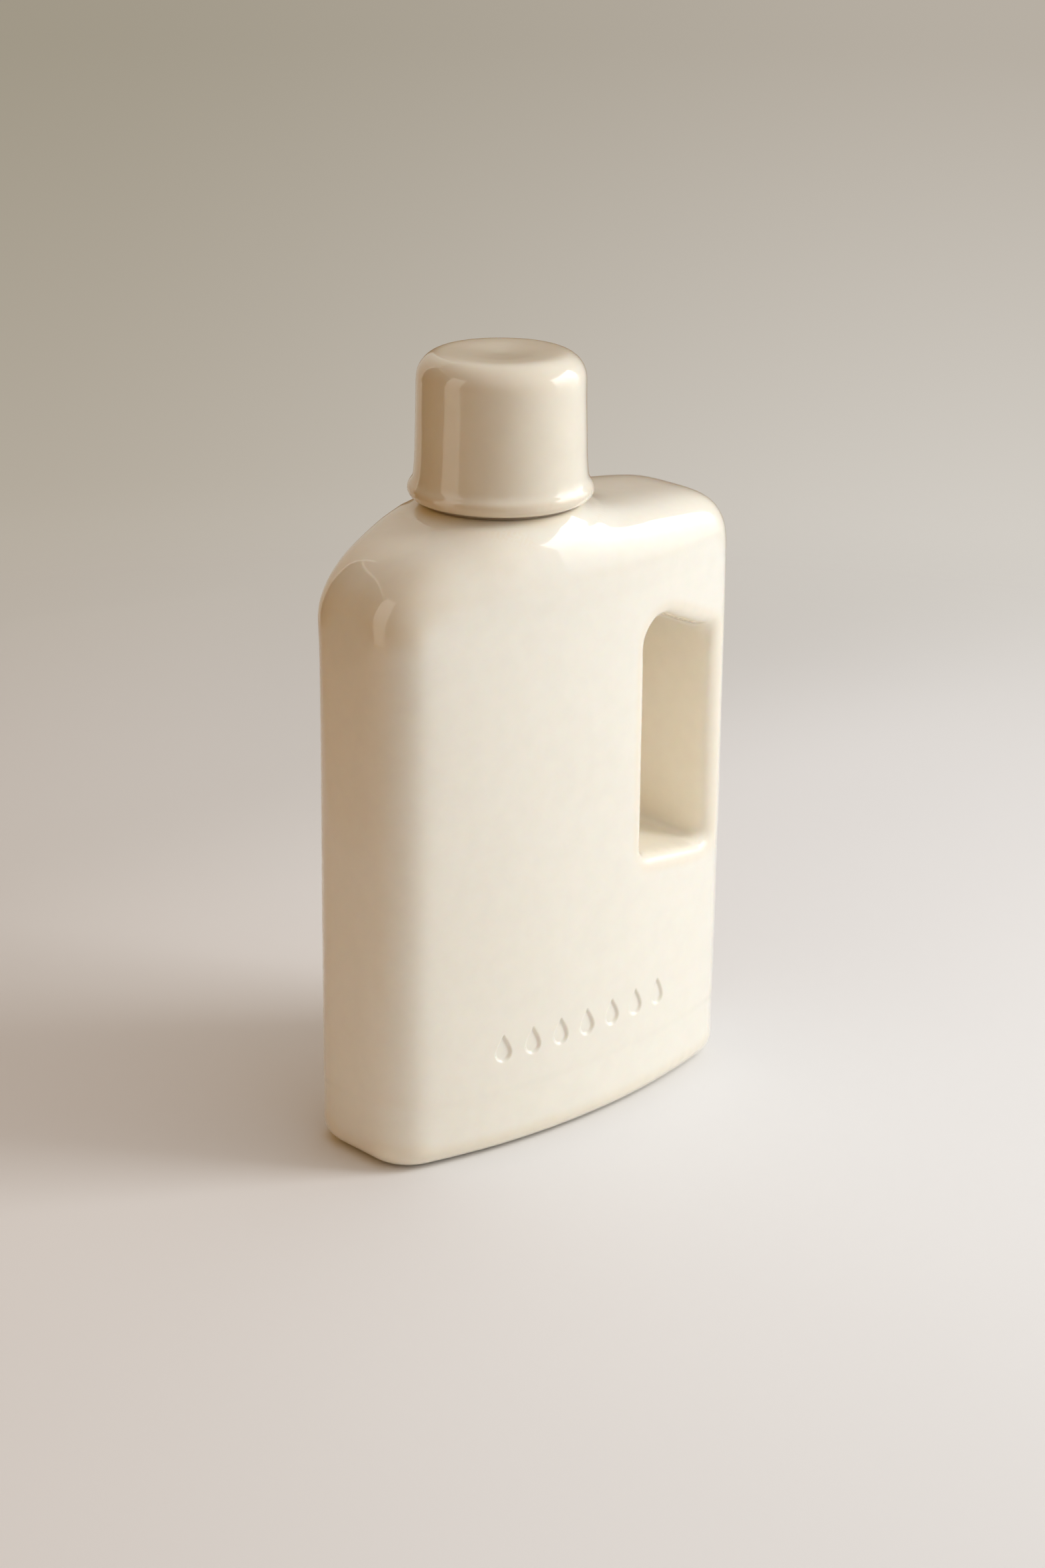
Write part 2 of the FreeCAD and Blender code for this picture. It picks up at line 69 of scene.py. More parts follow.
def evaluated_copy(source, name, modifiers):
    """A new object holding source's mesh with some modifiers applied."""
    work = bpy.data.objects.new(name, source.data.copy())
    bpy.context.scene.collection.objects.link(work)
    for kind, settings in modifiers:
        modifier = work.modifiers.new(kind, kind)
        for key, value in settings.items():
            setattr(modifier, key, value)
    graph = bpy.context.evaluated_depsgraph_get()
    mesh = bpy.data.meshes.new_from_object(work.evaluated_get(graph), depsgraph=graph)
    work.modifiers.clear()
    work.data = mesh
    work.data.name = name
    return work


def vectors_in(collection, field):
    """One vector per item of a mesh's collection, as rows."""
    flat = np.empty(len(collection) * 3, np.float32)
    collection.foreach_get(field, flat)
    return flat.reshape(-1, 3).astype(float)


def points_of(mesh):
    return vectors_in(mesh.vertices, "co")


def normals_of(mesh):
    return vectors_in(mesh.vertex_normals, "vector")


def set_points(mesh, points):
    mesh.vertices.foreach_set("co", points.astype(np.float32).ravel())
    mesh.update()


def smooth_step(share):
    """An even rise from 0 to 1, flat at both ends."""
    return share * share * (3 - 2 * share)


class Net:
    """A mesh's edges, for smoothing values held at its vertices."""

    def __init__(self, mesh):
        ends = np.empty(len(mesh.edges) * 2, np.int32)
        mesh.edges.foreach_get("vertices", ends)
        self.a, self.b = ends.reshape(-1, 2).T
        self.count = len(mesh.vertices)
        degree = np.bincount(self.a, minlength=self.count) + np.bincount(self.b, minlength=self.count)
        self.degree = np.maximum(degree, 1).astype(float)

    def mean(self, values):
        """Each vertex's neighbours' mean."""
        columns = values.reshape(self.count, -1)
        out = np.empty_like(columns)
        for i in range(columns.shape[1]):
            column = columns[:, i]
            total = np.bincount(self.a, column[self.b], self.count)
            total += np.bincount(self.b, column[self.a], self.count)
            out[:, i] = total / self.degree
        return out.reshape(values.shape)

    def blur(self, values, rounds):
        """The values after some rounds of taking neighbours' means."""
        for _ in range(rounds):
            values = self.mean(values)
        return values

    def settle(self, points, weight, rounds):
        """Moves points towards their neighbours' means, as far as their weight says."""
        for _ in range(rounds):
            points += (SETTLE_STEP * weight[:, None]) * (self.mean(points) - points)


def bend_of(net, points, normals):
    """How sharply the surface bends outwards at each vertex: positive on a convex edge."""
    return net.blur(((points - net.mean(points)) * normals).sum(1), BEND_BLUR)


def relax(mesh, recipe):
    """Smooths away facets: everywhere with a filter that keeps edges full, then more on flatter faces."""
    net = Net(mesh)
    points = points_of(mesh)
    for _ in range(recipe.keep_rounds):
        points += SHRINK_STEP * (net.mean(points) - points)
        points -= REGROW_STEP * (net.mean(points) - points)
    set_points(mesh, points)
    flatness = 1 - np.abs(bend_of(net, points, normals_of(mesh))) / recipe.flat_bend
    net.settle(points, net.blur(np.clip(flatness, 0, 1), FLAT_BLUR), recipe.flat_rounds)
    set_points(mesh, points)


def soften(mesh, share_of, rounds):
    """Melts part of a surface together, as a thick glaze does; share_of says how much at each point."""
    net = Net(mesh)
    points = points_of(mesh)
    net.settle(points, net.blur(share_of(points), SHARE_BLUR), rounds)
    set_points(mesh, points)


def ripple(mesh, waviness):
    """The slow unevenness of a cast and glazed surface."""
    points, normals = points_of(mesh), normals_of(mesh)
    seed = waviness.seed
    shift = Vector((seed, seed * 1.7, -seed))
    waves = np.array([noise.noise(Vector(p) / waviness.spacing + shift) for p in points])
    set_points(mesh, points + normals * (waves * waviness.height)[:, None])


def store(mesh, name, values):
    """Keeps one number per vertex, for a material to read."""
    attribute = mesh.attributes.new(name, "FLOAT", "POINT")
    attribute.data.foreach_set("value", values.astype(np.float32))


def store_bend(mesh, full_bend):
    """Stores how much each vertex bends, as a share of a full bend."""
    bend = bend_of(Net(mesh), points_of(mesh), normals_of(mesh))
    store(mesh, "bend", np.clip(bend / full_bend, -1, 1))


# ------------------------------------------------------------------ the bottle's top
COLLAR_INNER = 29.5 * MM  # the ring round the neck that is softened at the collar's foot
COLLAR_OUTER = 38 * MM
COLLAR_FADE = 4 * MM  # both rings fade in and out over this
COLLAR_DROP = 22 * MM
CROWN_INNER = 29 * MM
CROWN_DROP = 32 * MM  # how far below the cap's rim the softened crown reaches
CROWN_FADE = 10 * MM
CROWN_SWELL = 0.9 * MM


def from_neck(points):
    """Each point's distance from the neck's axis."""
    return np.hypot(points[:, 0] - NECK.x, points[:, 1] - NECK.y)


def collar_share(points):
    """The foot of the collar, just outside the cap's rim."""
    out = from_neck(points)
    rise = np.clip((out - COLLAR_INNER) / COLLAR_FADE, 0, 1)
    fall = np.clip((COLLAR_OUTER - out) / COLLAR_FADE, 0, 1)
    return rise * fall * (points[:, 2] > CAP_LOW.z - COLLAR_DROP)


def crown_share(points):
    """The top of the bottle, clear of the neck."""
    high = np.clip((points[:, 2] - CAP_LOW.z + CROWN_DROP) / CROWN_FADE, 0, 1)
    return high * np.clip((from_neck(points) - CROWN_INNER) / COLLAR_FADE, 0, 1)


def swell_crown(mesh):
    """Gives back the height that softening takes from the crown."""
    points = points_of(mesh)
    set_points(mesh, points + normals_of(mesh) * (crown_share(points) * CROWN_SWELL)[:, None])


# ------------------------------------------------------------------ the bottle's hollow and hand hole
SKIN_CLEARANCE = 1.5 * MM
INSIDE_FIRST = 1000  # makes the decimator take the inside's faces before any others
HOLE_REACH = 12 * MM


def inside_vertices(mesh):
    """Vertices that look at the bottle's own wall both to the front and to the back."""
    tree = BVHTree.FromPolygons([v.co for v in mesh.vertices], [p.vertices for p in mesh.polygons])
    reach = (BODY_HIGH.y - BODY_LOW.y) * 2
    ways = (Vector((0, 1, 0)), Vector((0, -1, 0)))
    inside = []
    for vertex in mesh.vertices:
        start = vertex.co + vertex.normal * SKIN_CLEARANCE
        if all(tree.ray_cast(start, way, reach)[0] for way in ways):
            inside.append(vertex.index)
    return inside


def thin_inside(thing, share):
    """Collapses the parts of a shell that face its own hollow to a share of their faces."""
    mesh = thing.data
    inside = inside_vertices(mesh)
    group = thing.vertex_groups.new(name="inside")
    group.add(inside, 1.0, "REPLACE")
    modifier = thing.modifiers.new("thin", "DECIMATE")
    outside = len(mesh.vertices) - len(inside)
    modifier.ratio = (outside + share * len(inside)) / len(mesh.vertices)
    modifier.vertex_group = group.name
    modifier.vertex_group_factor = INSIDE_FIRST
    graph = bpy.context.evaluated_depsgraph_get()
    thin = bpy.data.meshes.new_from_object(thing.evaluated_get(graph), depsgraph=graph)
    thing.modifiers.clear()
    thing.data = thin
    thing.vertex_groups.clear()


def hole_painted_light_share(mesh):
    """How much of each vertex lies on the walls of the hand hole, from 0 to 1: the mask for the painted
    bounce light there.
    """
    openings = frame["record"]["physics"]["openings"]
    low, high = next(opening["box_m"] for opening in openings if opening["name"] == "hand_hole")
    points = points_of(mesh)
    outside = np.maximum(np.array(low) - points, points - np.array(high)).max(1)
    on_wall = np.abs(normals_of(mesh)[:, 1]) < FACING
    return Net(mesh).blur(np.clip(2 - outside / HOLE_REACH, 0, 1) * on_wall, HOLE_BLUR)


# ------------------------------------------------------------------ the row of drops and the seam
DROP_COUNT = 7
DROP_PITCH = 12.3 * MM
DROP_HEIGHT = 9.4 * MM
DROP_WIDTH = 6.0 * MM
DROP_DEPTH = 0.9 * MM
DROP_BASE = 35.0 * MM
DROP_MIDDLE = -2.6 * MM
DROP_EDGE = 1.1 * MM
DROP_TAPER = 1.25  # how the sides close in towards the tip
DROP_BULGE = 0.9  # and how far they bow out on the way
DROP_MARGIN = 2 * MM
DROP_CUTS = 3
FRONT_DEPTH = 20 * MM  # the front face lies further forward than this
FRONT_FACING = 0.5  # a point that is pressed faces forward at least this much
SEAM_HEIGHT = 24 * MM
SEAM_STEP = 0.22 * MM
SEAM_WIDTH = 1.6 * MM


def drop_depth(x, z):
    """How deep the row of drops is pressed at a point of the front face, from 0 to 1."""
    deepest = np.zeros_like(x)
    round_radius = DROP_WIDTH / 2
    round_centre = DROP_BASE + round_radius
    tip = DROP_BASE + DROP_HEIGHT
    for i in range(DROP_COUNT):
        across = np.abs(x - DROP_MIDDLE - (i - (DROP_COUNT - 1) / 2) * DROP_PITCH)
        up = z - round_centre
        share = np.clip(up / (tip - round_centre), 0, 1)
        half_width = round_radius * (1 - share) ** DROP_TAPER * (1 + DROP_BULGE * share)
        below = np.hypot(across, up) - round_radius
        above = np.where(z < tip, across - half_width, np.hypot(across, z - tip))
        outside = np.where(up < 0, below, above)
        deepest = np.maximum(deepest, np.clip(0.5 - outside / DROP_EDGE, 0, 1))
    return smooth_step(deepest)


def refine_drops(mesh):
    """Splits the front face finely where the drops go."""
    half = DROP_COUNT / 2 * DROP_PITCH + DROP_MARGIN
    low, high = DROP_BASE - DROP_MARGIN, DROP_BASE + DROP_HEIGHT + DROP_MARGIN
    work = bmesh.new()
    work.from_mesh(mesh)
    chosen = set()
    for face in work.faces:
        c = face.calc_center_median()
        in_front = face.normal.y < -FACING and c.y < -FRONT_DEPTH
        if in_front and abs(c.x - DROP_MIDDLE) < half and low < c.z < high:
            chosen.update(face.edges)
    bmesh.ops.subdivide_edges(work, edges=list(chosen), cuts=DROP_CUTS, use_grid_fill=True)
    work.to_mesh(mesh)
    work.free()


def press_drops(mesh):
    """Presses the row of drops into the front face."""
    points, normals = points_of(mesh), normals_of(mesh)
    in_front = (normals[:, 1] < -FRONT_FACING) & (points[:, 1] < -FRONT_DEPTH)
    points[:, 1] += drop_depth(points[:, 0], points[:, 2]) * in_front * DROP_DEPTH
    set_points(mesh, points)


def step_at_seam(mesh):
    """The foot of the mould: the wall steps in a little below the seam."""
    points, normals = points_of(mesh), normals_of(mesh)
    below = np.clip((SEAM_HEIGHT - points[:, 2]) / SEAM_WIDTH + 0.5, 0, 1)
    upright = np.hypot(normals[:, 0], normals[:, 1])
    flat = normals * np.array([1, 1, 0])
    set_points(mesh, points - flat * (smooth_step(below) * upright * SEAM_STEP)[:, None])


# ------------------------------------------------------------------ materials
CREAM = (0.90, 0.86, 0.755)
THIN_CREAM = (0.88, 0.81, 0.67)
POOLED_CREAM = (0.93, 0.90, 0.82)
HOLE_PAINTED_LIGHT_CREAM = (0.995, 0.93, 0.80)
# painted light: the hand hole's paler, warmer colour stands in for light bounced round inside it
CAP_CREAM = (0.84, 0.775, 0.64)
CAP_THIN_CREAM = (0.81, 0.72, 0.57)
CLAY = (0.20, 0.11, 0.05)
SEAL_GREY = (0.36, 0.30, 0.22)
SEAL_DEEP = (0.32, 0.26, 0.19)
SPOUT_WHITE = (0.84, 0.83, 0.79)
SPOUT_DEEP = (0.80, 0.79, 0.75)
PAD_GREY = (0.62, 0.60, 0.56)
PAD_DEEP = (0.56, 0.54, 0.50)
EDGE_BEND = (0.15, 1.0)  # where the glaze starts growing thin on an edge, and where it is thinnest
HOLLOW_BEND = (-0.25, -1.0)  # and the same for pooling in a hollow
PINHOLE_EDGE = (0.016, 0.009)
PINHOLE_STAIN = 0.75
SUBSURFACE_SPREAD = (1.0, 0.55, 0.3)
MOTTLE_SCALE = 26  # noise scales are per metre
SPECK_SCALE = 160
PINHOLE_SCALE = 30
ORANGE_PEEL_SCALE = 70
GLAZE_RELIEF = 0.4 * MM
GLAZE_BUMP = 0.18
COAT_BUMP = 0.07


class Shader:
    """A small helper round one material's or world's node tree."""

    def __init__(self, owner):
        owner.use_nodes = True
        self.tree = owner.node_tree
        self.nodes, self.links = self.tree.nodes, self.tree.links

    def feed(self, socket, value):
        """Links a socket's value into a socket, or sets a plain value."""
        if isinstance(value, bpy.types.NodeSocket):
            self.links.new(value, socket)
        else:
            socket.default_value = value

    def dress(self, node, inputs):
        for key, value in inputs.items():
            self.feed(node.inputs[key], value)

    def add(self, kind, inputs=None, **settings):
        node = self.nodes.new(kind)
        for key, value in settings.items():
            setattr(node, key, value)
        self.dress(node, inputs or {})
        return node

    def maths(self, operation, a, b=0.0, clamp=False):
        return self.add("ShaderNodeMath", {0: a, 1: b}, operation=operation, use_clamp=clamp).outputs[0]

    def span(self, value, low, high, out_low=0.0, out_high=1.0, smooth=True):
        """The value carried from one range to another, and held at its ends."""
        kind = "SMOOTHSTEP" if smooth else "LINEAR"
        inputs = {"Value": value, "From Min": low, "From Max": high, "To Min": out_low, "To Max": out_high}
        return self.add("ShaderNodeMapRange", inputs, interpolation_type=kind).outputs["Result"]

    def mix(self, factor, a, b, blend="MIX"):
        node = self.add("ShaderNodeMix", data_type="RGBA", blend_type=blend)
        for key, value in (("Factor", factor), ("A", a), ("B", b)):
            self.feed(next(s for s in node.inputs if s.name == key and s.enabled), value)
        return next(s for s in node.outputs if s.enabled)

    def place(self):
        return self.add("ShaderNodeTexCoord").outputs["Object"]

    def noise(self, scale, detail=3.0, rough=0.5):
        inputs = {"Vector": self.place(), "Scale": scale, "Detail": detail, "Roughness": rough}
        return self.add("ShaderNodeTexNoise", inputs).outputs["Fac"]

    def attribute(self, name):
        """A number stored at a mesh's vertices; it reads as 0 on a mesh that lacks it."""
        return self.add("ShaderNodeAttribute", attribute_name=name).outputs["Fac"]

    def along(self, place, way):
        """How far a place lies along a direction."""
        inputs = {0: place, 1: way}
        return self.add("ShaderNodeVectorMath", inputs, operation="DOT_PRODUCT").outputs["Value"]

    def bump(self, height, strength, distance):
        inputs = {"Height": height, "Strength": strength, "Distance": distance}
        return self.add("ShaderNodeBump", inputs).outputs[0]


def rgb(r, g, b):
    return (r, g, b, 1.0)


def new_material(name):
    """A new material, the helper round its nodes, and its Principled shader."""
    material = bpy.data.materials.new(name)
    shader = Shader(material)
    return material, shader, shader.nodes["Principled BSDF"]


def glaze_colour(s, cream, thin_cream, mottle, speck, pinhole):
    """Cream, thinner and warmer on edges, paler in hollows, paler and warmer in the hand hole as painted
    bounce light, with a few pinholes.
    """
    bend = s.attribute("bend")
    thin = s.maths("ADD", s.span(bend, *EDGE_BEND), s.span(mottle, 0.45, 0.75, -0.08, 0.10), True)
    colour = s.mix(thin, rgb(*cream), rgb(*thin_cream))
    colour = s.mix(s.span(bend, *HOLLOW_BEND), colour, rgb(*POOLED_CREAM))
    # painted light: the hand hole's walls are painted paler and warmer, standing in for light bounced
    # round inside the hole
    colour = s.mix(s.attribute("hole_painted_light"), colour, rgb(*HOLE_PAINTED_LIGHT_CREAM))
    shade = s.span(speck, 0.3, 0.7, 0.985, 1.01, False)
    tint = s.add("ShaderNodeCombineColor", {"Red": shade, "Green": shade, "Blue": shade}).outputs[0]
    colour = s.mix(1.0, colour, tint, blend="MULTIPLY")
    return s.mix(s.maths("MULTIPLY", pinhole, PINHOLE_STAIN), colour, rgb(*CLAY))


def glaze_skin(s, speck, pinhole):
    """The relief of the glaze: orange peel, specks and pinholes."""
    peel = s.maths("MULTIPLY", s.noise(ORANGE_PEEL_SCALE, 3, 0.5), 0.5)
    skin = s.maths("ADD", peel, s.maths("MULTIPLY", speck, 0.10))
    return s.maths("SUBTRACT", skin, s.maths("MULTIPLY", pinhole, 0.4))


def glaze_material(name, cream, thin_cream):
    """A gloss glaze over cream clay, under a clear coat that stays smoother than its base."""
    material, s, bsdf = new_material(name)
    mottle = s.noise(MOTTLE_SCALE, 4, 0.55)
    speck = s.noise(SPECK_SCALE, 2, 0.5)
    cells = s.add("ShaderNodeTexVoronoi", {"Vector": s.place(), "Scale": PINHOLE_SCALE})
    pinhole = s.span(cells.outputs["Distance"], *PINHOLE_EDGE)
    skin = glaze_skin(s, speck, pinhole)
    looks = {
        "Base Color": glaze_colour(s, cream, thin_cream, mottle, speck, pinhole),
        "Roughness": s.span(mottle, 0.3, 0.7, 0.16, 0.26),
        "Specular IOR Level": 0.2,
        "Coat Weight": 1.0,
        "Coat Roughness": 0.035,
        "Subsurface Weight": 0.25,
        "Subsurface Radius": SUBSURFACE_SPREAD,
        "Subsurface Scale": 3.5 * MM,
        "Normal": s.bump(skin, GLAZE_BUMP, GLAZE_RELIEF),
        "Coat Normal": s.bump(skin, COAT_BUMP, GLAZE_RELIEF),
    }
    s.dress(bsdf, looks)
    return material


def soft_material(name, colour, deep_colour, roughness, grain):
    """Moulded silicone or polyethylene: milky, with a fine even grain."""
    material, s, bsdf = new_material(name)
    cloud = s.noise(60, 3, 0.5)
    looks = {
        "Base Color": s.mix(s.span(cloud, 0.3, 0.7), rgb(*colour), rgb(*deep_colour)),
        "Roughness": s.span(cloud, 0.3, 0.7, roughness, roughness + 0.1),
        "Subsurface Weight": 0.2,
        "Subsurface Scale": 1.5 * MM,
        "Normal": s.bump(s.noise(grain, 2, 0.6), 0.25, 0.08 * MM),
    }
    s.dress(bsdf, looks)
    return material


# ------------------------------------------------------------------ pieces
Recipe = namedtuple("Recipe", "voxel keep_rounds flat_rounds flat_bend")
BOTTLE_NET = Recipe(1.25 * MM, 40, 90, 0.020 * MM)
CAP_NET = Recipe(0.75 * MM, 30, 20, 0.02 * MM)
SEAL_NET = Recipe(0.32 * MM, 8, 0, 0.01 * MM)
SMALL_NET = Recipe(0.4 * MM, 8, 0, 0.01 * MM)
Ripple = namedtuple("Ripple", "height spacing seed")
BOTTLE_RIPPLE = Ripple(0.16 * MM, 34 * MM, 3.1)
CAP_RIPPLE = Ripple(0.12 * MM, 15 * MM, 8.4)
FULL_BEND = 0.03 * MM
COLLAR_ROUNDS = 70
CROWN_ROUNDS = 100
INSIDE_SHARE = 0.08


def remake(node, name, recipe):
    """A CAD node's shape as an even net of small quads with softened edges."""
    source = frame["nodes"][node]
    thing = evaluated_copy(source, name, [("REMESH", {"mode": "VOXEL", "voxel_size": recipe.voxel})])
    relax(thing.data, recipe)
    return thing


def finish_piece(thing, node, body, material):
    """Gives a remade piece its material and smooth shading, ties it to its body and hides its CAD node."""
    mesh = thing.data
    mesh.materials.clear()
    mesh.materials.append(material)
    mesh.polygons.foreach_set("use_smooth", [True] * len(mesh.polygons))
    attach(thing, body)
    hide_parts(node)


def make_bottle():
    """The bottle: its top melted together, its foot stepped, drops pressed in, and glazed."""
    thing = remake("bottle_body", "bottle_shell", BOTTLE_NET)
    soften(thing.data, collar_share, COLLAR_ROUNDS)
    soften(thing.data, crown_share, CROWN_ROUNDS)
    swell_crown(thing.data)
    thin_inside(thing, INSIDE_SHARE)
    ripple(thing.data, BOTTLE_RIPPLE)
    refine_drops(thing.data)
    step_at_seam(thing.data)
    press_drops(thing.data)
    store_bend(thing.data, FULL_BEND)
    # the mask for the painted bounce light on the hand hole's walls
    store(thing.data, "hole_painted_light", hole_painted_light_share(thing.data))
    glaze = glaze_material("body_glaze", CREAM, THIN_CREAM)
    finish_piece(thing, "bottle_body", "bottle", glaze)


def make_cap():
    """The dosing cap, in a slightly darker and warmer glaze."""
    thing = remake("cap", "dosing_cap", CAP_NET)
    ripple(thing.data, CAP_RIPPLE)
    store_bend(thing.data, FULL_BEND)
    glaze = glaze_material("cap_glaze", CAP_CREAM, CAP_THIN_CREAM)
    finish_piece(thing, "cap", "cap", glaze)


def make_small_parts():
    """The seal, the spout and the pads, which stay with the bottle."""
    seal = soft_material("seal_silicone", SEAL_GREY, SEAL_DEEP, 0.42, 900)
    spout = soft_material("spout_plastic", SPOUT_WHITE, SPOUT_DEEP, 0.33, 700)
    pad = soft_material("pad_silicone", PAD_GREY, PAD_DEEP, 0.55, 900)
    jobs = (
        ("neck_seal", "neck_seal_ring", SEAL_NET, "seal_silicone", seal),
        ("pour_spout", "pour_spout_insert", SMALL_NET, "spout_plastic", spout),
        ("base_pads", "base_pad_set", SMALL_NET, "pad_silicone", pad),
    )
    for node, name, recipe, slot, material in jobs:
        finish_piece(remake(node, name, recipe), node, "bottle", material)


# ------------------------------------------------------------------ camera
VIEW_AZIMUTH = math.radians(43.28)
VIEW_ELEVATION = math.radians(20.17)
VIEW_ROLL = math.radians(0.45)
VIEW_DISTANCE = 1.143
VIEW_AIM = Vector((-0.0012, 0.0, 0.1179))
LENS_MM = 75.4
SENSOR_MM = 36
F_STOP = 7.1
CLIP_START = 0.05
FOCUS_SHARE = 0.8  # how far forward the focus lies, from the bottle's middle to its front face
SIDEWAYS = Vector((math.cos(VIEW_AZIMUTH), -math.sin(VIEW_AZIMUTH), 0))
AWAY = Vector((math.sin(VIEW_AZIMUTH), math.cos(VIEW_AZIMUTH), 0))


def add_to_scene(name, data):
    """A new object in the scene."""
    thing = bpy.data.objects.new(name, data)
    bpy.context.scene.collection.objects.link(thing)
    return thing


def make_camera():
    """The camera at the photograph's angle, focused near the front face, below the neck."""
    forward = (AWAY * math.cos(VIEW_ELEVATION) - Vector((0, 0, math.sin(VIEW_ELEVATION)))).normalized()
    up = SIDEWAYS.cross(forward)
    right = SIDEWAYS * math.cos(VIEW_ROLL) + up * math.sin(VIEW_ROLL)
    up = up * math.cos(VIEW_ROLL) - SIDEWAYS * math.sin(VIEW_ROLL)
    camera = add_to_scene("camera", bpy.data.cameras.new("camera"))
    axes = Matrix((right, up, -forward)).transposed().to_4x4()
    camera.matrix_world = Matrix.Translation(VIEW_AIM - forward * VIEW_DISTANCE) @ axes
    camera.data.lens = LENS_MM
    camera.data.sensor_width = SENSOR_MM
    camera.data.clip_start = CLIP_START
    target = add_to_scene("focus", None)
    target.location = Vector((NECK.x, BODY_LOW.y * FOCUS_SHARE, (BODY_LOW.z + CAP_HIGH.z) / 2))
    camera.data.dof.use_dof = True
    camera.data.dof.focus_object = target
    camera.data.dof.aperture_fstop = F_STOP
    bpy.context.scene.camera = camera


# ------------------------------------------------------------------ floor and light
AROUND_LEFT = (0.23, 0.140, 0.065)
AROUND_RIGHT = (0.69, 0.71, 0.74)
ABOVE_LEFT = (0.49, 0.45, 0.40)
ABOVE_RIGHT = (0.80, 0.81, 0.82)
BACKDROP_LOW_LEFT = (0.455, 0.405, 0.335)
BACKDROP_LOW_RIGHT = (0.665, 0.63, 0.58)
BACKDROP_HIGH_LEFT = (0.35, 0.31, 0.24)
BACKDROP_HIGH_RIGHT = (0.48, 0.435, 0.375)
FLOOR_SIZE = 14.0
FLOOR_PALE = (0.862, 0.858, 0.855)
FLOOR_PALER = (0.880, 0.876, 0.872)
# painted shade: the floor's darker colour behind the bottle stands in for the light's falloff
FLOOR_PAINTED_SHADE = (0.760, 0.752, 0.735)
FLOOR_ROUGHNESS = 0.65
FLOOR_SHINE = 0.08
FLOOR_SHADE_SPAN = (0.20, 0.46)  # where the painted shade on the floor behind the bottle starts and ends growing darker, standing in for the window light's falloff
FLOOR_FADE = (0.35, 0.9)  # how far out the floor starts and ends fading into the backdrop
ROOM_CENTRE = Vector((0, 0, 0.17))
KEY_BEARING = 46
KEY_ELEVATION = 33
KEY_DISTANCE = 1.15
KEY_POWER = 5.8
KEY_SIZE = (0.43, 0.50)
WARM = (0.36, 0.180, 0.035)
GLARE_FOOT = (0.22, 0.22, 0.22)
GLARE_TOP = (1.0, 1.0, 1.0)
DAYLIGHT = (0.97, 1.0, 1.03)
DOOR_FOOT = (0.10, 0.10, 0.08)
DOOR_TOP = (0.06, 0.065, 0.05)
PALE_FOOT = (0.55, 0.50, 0.42)
PALE_TOP = (0.9, 0.85, 0.75)
WALL_FOOT = (0.50, 0.44, 0.36)
WALL_TOP = (0.70, 0.64, 0.55)


def make_floor():
    """A wide pale floor, with painted shade that grows darker behind the bottle, that fades into the
    backdrop far away.
    """
    size = FLOOR_SIZE
    mesh = bpy.data.meshes.new("floor")
    corners = [(-size, -size, 0), (size, -size, 0), (size, size, 0), (-size, size, 0)]
    mesh.from_pydata(corners, [], [(0, 1, 2, 3)])
    floor = add_to_scene("floor", mesh)
    material, s, bsdf = new_material("floor_paper")
    place = s.place()
    colour = s.mix(s.span(s.noise(3, 2, 0.5), 0.3, 0.7), rgb(*FLOOR_PALE), rgb(*FLOOR_PALER))
    behind = s.along(place, AWAY - SIDEWAYS)
    looks = {
        # painted shade: the floor's colour darkens behind and to the left of the bottle, standing in for
        # the window light's falloff
        "Base Color": s.mix(s.span(behind, *FLOOR_SHADE_SPAN), colour, rgb(*FLOOR_PAINTED_SHADE)),
        "Roughness": FLOOR_ROUGHNESS,
        "Specular IOR Level": FLOOR_SHINE,
        "Normal": s.bump(s.noise(900, 2, 0.6), 0.15, 0.1 * MM),
    }
    s.dress(bsdf, looks)
    far = s.add("ShaderNodeVectorMath", {0: place}, operation="LENGTH").outputs["Value"]
    clear = s.nodes.new("ShaderNodeBsdfTransparent").outputs[0]
    blend = s.add("ShaderNodeMixShader", {0: s.span(far, *FLOOR_FADE), 1: bsdf.outputs[0], 2: clear})
    s.links.new(blend.outputs[0], s.nodes["Material Output"].inputs["Surface"])
    mesh.materials.append(material)


def bearing_way(bearing, elevation):
    """The direction of a compass bearing, turned from +X towards -Y, and an elevation, in degrees."""
    turn, rise = math.radians(bearing), math.radians(elevation)
    return Vector((math.cos(turn) * math.cos(rise), -math.sin(turn) * math.cos(rise), math.sin(rise)))


def make_window():
    """The key light: one soft window to the right."""
    data = bpy.data.lights.new("window", "AREA")
    data.shape = "RECTANGLE"
    data.size, data.size_y = KEY_SIZE
    data.energy = KEY_POWER
    light = add_to_scene("window", data)
    way = bearing_way(KEY_BEARING, KEY_ELEVATION)
    light.location = ROOM_CENTRE + way * KEY_DISTANCE
    light.rotation_mode = "QUATERNION"
    light.rotation_quaternion = (-way).to_track_quat("-Z", "Y")
    light.visible_camera = False
    light.visible_glossy = False


def glow_material(name, low, high, colours, power):
    """A plain glow whose colour changes between two heights."""
    material, s, bsdf = new_material(name)
    s.nodes.remove(bsdf)
    height = s.add("ShaderNodeSeparateXYZ", {0: s.place()}).outputs["Z"]
    colour = s.mix(s.span(height, low, high), rgb(*colours[0]), rgb(*colours[1]))
    glow = s.add("ShaderNodeEmission", {"Color": colour, "Strength": power})
    s.links.new(glow.outputs[0], s.nodes["Material Output"].inputs["Surface"])
    return material


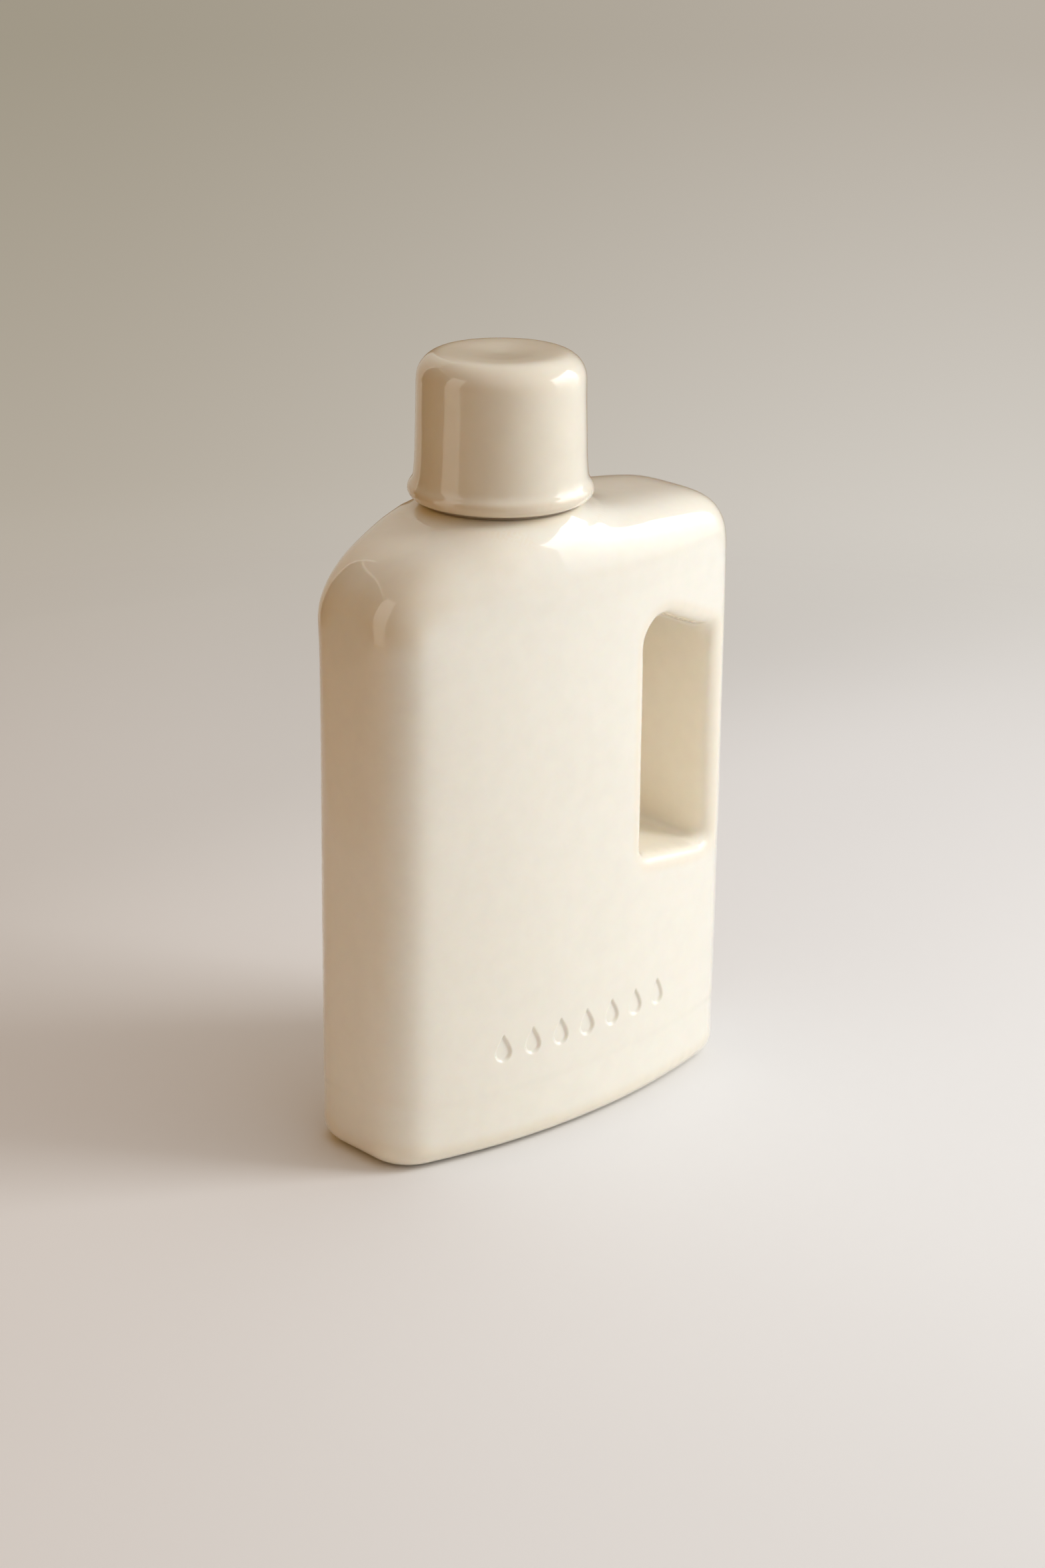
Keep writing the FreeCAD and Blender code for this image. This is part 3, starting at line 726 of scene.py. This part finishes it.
def make_panel(name, bearings, rises, distance, colours, power, glossy=True):
    """A glowing board seen only in reflections, or only by soft light, and never by the camera.

    bearings are its two sides and rises its foot and top, in degrees; colours are at its foot and top.
    """
    out = bearing_way((bearings[0] + bearings[1]) / 2, 0) * distance
    along = Vector((-out.y, out.x, 0)).normalized() * distance
    side = along * math.tan(math.radians(abs(bearings[1] - bearings[0]) / 2))
    low, high = (ROOM_CENTRE.z + distance * math.tan(math.radians(r)) for r in rises)
    low = max(low, MM)
    base = Vector((ROOM_CENTRE.x, ROOM_CENTRE.y, 0)) + out
    foot, top = Vector((0, 0, low)), Vector((0, 0, high))
    corners = (base - side + foot, base + side + foot, base + side + top, base - side + top)
    mesh = bpy.data.meshes.new(name)
    mesh.from_pydata([tuple(c) for c in corners], [], [(0, 1, 2, 3)])
    mesh.materials.append(glow_material(name, low, high, colours, power))
    panel = add_to_scene(name, mesh)
    panel.visible_camera = False
    panel.visible_shadow = False
    panel.visible_transmission = False
    panel.visible_diffuse = not glossy
    panel.visible_glossy = glossy


def make_panels():
    """Boards round the bottle: a warm one that shades its left, and what its glaze mirrors."""
    pale = (PALE_FOOT, PALE_TOP)
    make_panel("warm_board", (-76, -212), (-20, 54), 0.34, (WARM, WARM), 1.0, glossy=False)
    make_panel("window_glare", (6, 56), (-6, 36), 1.45, (GLARE_FOOT, GLARE_TOP), 5.2)
    make_panel("window_spread", (30, 68), (-5, 38), 1.50, (DAYLIGHT, DAYLIGHT), 1.65, glossy=False)
    make_panel("dark_door", (-97, -147), (-20, 42), 0.60, (DOOR_FOOT, DOOR_TOP), 1.0)
    make_panel("door_frame", (-147, -172), (-20, 44), 0.61, pale, 2.0)
    make_panel("far_wall", (-60, -95), (-20, 46), 0.62, (WALL_FOOT, WALL_TOP), 1.0)
    make_panel("door_edge", (-95.6, -97), (-20, 44), 0.60, pale, 1.8)
    make_panel("door_top", (-96, -147), (42, 43), 0.60, pale, 1.6)


def make_world():
    """Surroundings that light the bottle, neutral to the right and above and warm to the left.

    The camera sees a plain backdrop instead, with painted shade that makes it darker high up and to the
    left.
    """
    world = bpy.data.worlds.new("studio")
    bpy.context.scene.world = world
    s = Shader(world)
    way = s.add("ShaderNodeTexCoord").outputs["Generated"]
    side = s.along(way, SIDEWAYS)
    up = s.add("ShaderNodeSeparateXYZ", {0: way}).outputs["Z"]
    around = s.mix(s.span(side, 0.0, 1.0), rgb(*AROUND_LEFT), rgb(*AROUND_RIGHT))
    above = s.mix(s.span(side, -0.5, 0.5), rgb(*ABOVE_LEFT), rgb(*ABOVE_RIGHT))
    lit = s.mix(s.span(up, 0.15, 0.9), around, above)
    # painted shade on the backdrop the camera sees: darker high up and to the left
    low = s.mix(s.span(side, -0.2, 0.2), rgb(*BACKDROP_LOW_LEFT), rgb(*BACKDROP_LOW_RIGHT))
    high = s.mix(s.span(side, -0.2, 0.2), rgb(*BACKDROP_HIGH_LEFT), rgb(*BACKDROP_HIGH_RIGHT))
    seen = s.mix(s.span(up, -0.27, -0.13, smooth=False), low, high)
    ray = s.add("ShaderNodeLightPath").outputs["Is Camera Ray"]
    background = s.nodes["Background"]
    s.dress(background, {"Color": s.mix(ray, lit, seen), "Strength": 1.0})


make_bottle()
make_cap()
make_small_parts()
make_floor()
make_window()
make_panels()
make_world()
make_camera()
bpy.context.scene.view_settings.view_transform = "Standard"
